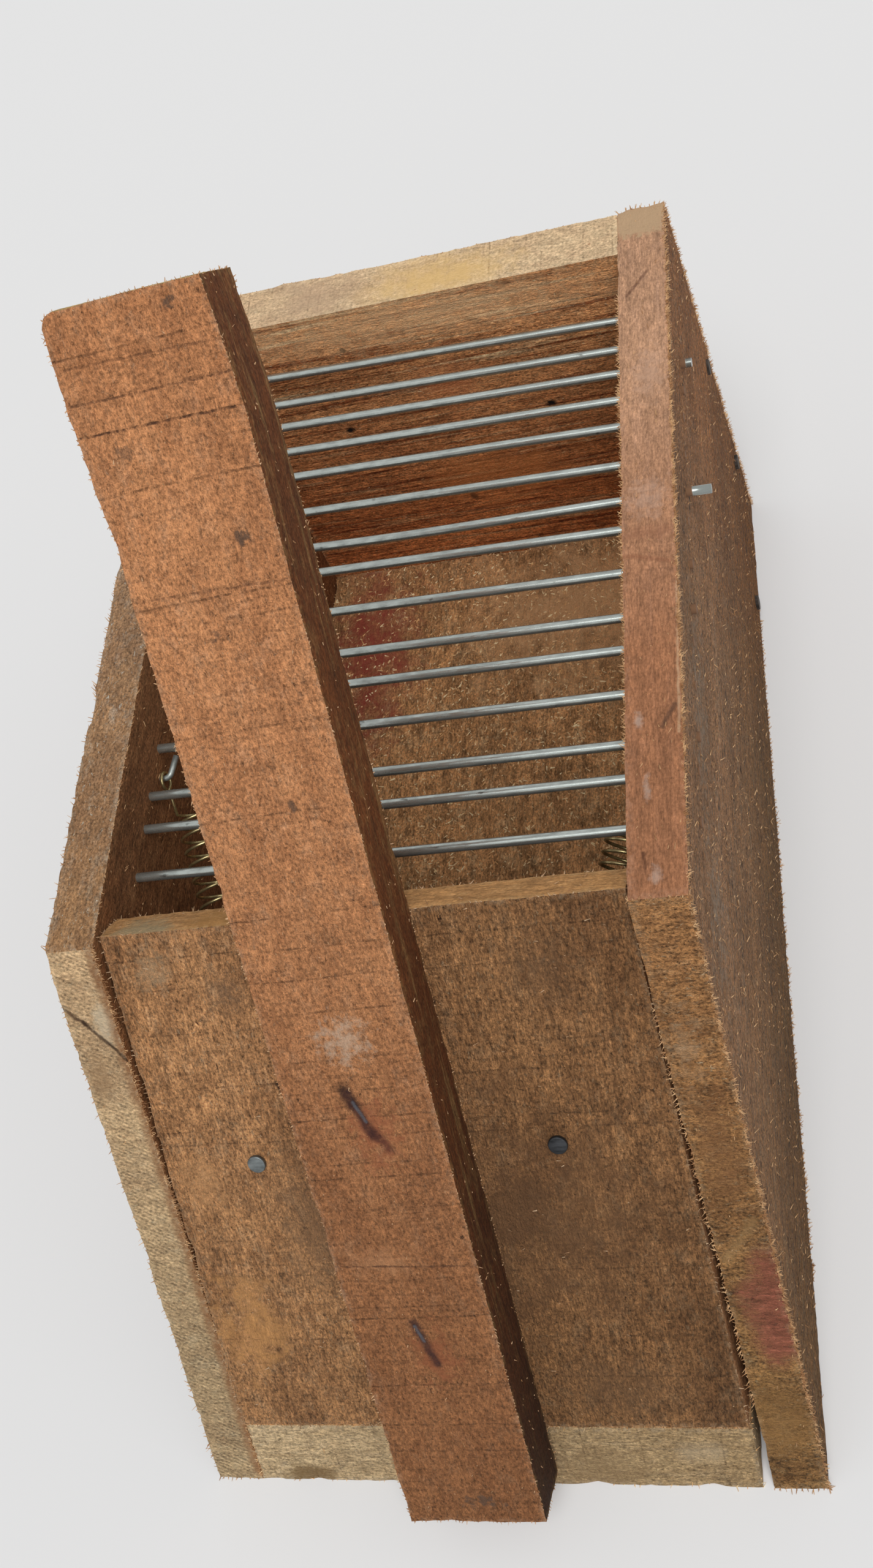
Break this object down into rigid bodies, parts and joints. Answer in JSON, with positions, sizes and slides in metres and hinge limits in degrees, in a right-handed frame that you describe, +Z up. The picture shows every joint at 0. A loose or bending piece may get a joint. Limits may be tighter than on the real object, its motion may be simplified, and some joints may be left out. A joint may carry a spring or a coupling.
{
  "type": "rodent box trap",
  "caption": "Wooden live-catch rodent trap: board box with a barred wire top, a sloping flap door that coil springs pull shut, and a long setting lever nailed to the door.",
  "frame": {"origin": "middle of the underside, halfway between the front and back ends of the side boards", "axes": "+Z up, +Y along the box towards the back board, +X to the right of someone facing the door"},
  "size_m": [0.1328, 0.2632, 0.2044],
  "materials": {
    "board_wood": "rough sawn, unfinished",
    "door_wood": "rough sawn, unfinished",
    "lever_wood": "rough sawn, unfinished",
    "galvanised_wire": "dull galvanised",
    "spring_wire": "zinc plated, yellowish",
    "nail_steel": "dull bright steel"
  },
  "bodies": {
    "case": {"floor_board": "board_wood", "left_side_board": "board_wood", "right_side_board": "board_wood", "back_board": "board_wood", "door_pivot_pin_left": "nail_steel", "door_pivot_pin_right": "nail_steel", "wall_hook_left": "galvanised_wire", "wall_hook_right": "galvanised_wire", "door_spring_left": "spring_wire", "door_spring_right": "spring_wire", "side_nails_left": "nail_steel", "side_nails_right": "nail_steel", "bar_wire_01": "galvanised_wire", "bar_wire_02": "galvanised_wire", "bar_wire_03": "galvanised_wire", "bar_wire_04": "galvanised_wire", "bar_wire_05": "galvanised_wire", "bar_wire_06": "galvanised_wire", "bar_wire_07": "galvanised_wire", "bar_wire_08": "galvanised_wire", "bar_wire_09": "galvanised_wire", "bar_wire_10": "galvanised_wire", "bar_wire_11": "galvanised_wire", "bar_wire_12": "galvanised_wire", "bar_wire_13": "galvanised_wire", "bar_wire_14": "galvanised_wire", "bar_wire_15": "galvanised_wire"},
    "door": {"door_board": "door_wood", "lever_bar": "lever_wood", "lever_nail_upper": "nail_steel", "lever_nail_lower": "nail_steel", "spring_nail_left": "nail_steel", "spring_nail_right": "nail_steel"}
  },
  "joints": [
    {"name": "door_hinge", "type": "hinge", "parent": "case", "child": "door", "pos_m": [0, -0.04701, 0.09664], "axis": [-1, 0, 0], "range_deg": [0, 53], "stiffness_Nm_per_rad": 0.02, "springref_deg": -143.24, "deforming": ["door_spring_left", "door_spring_right"]}
  ]
}
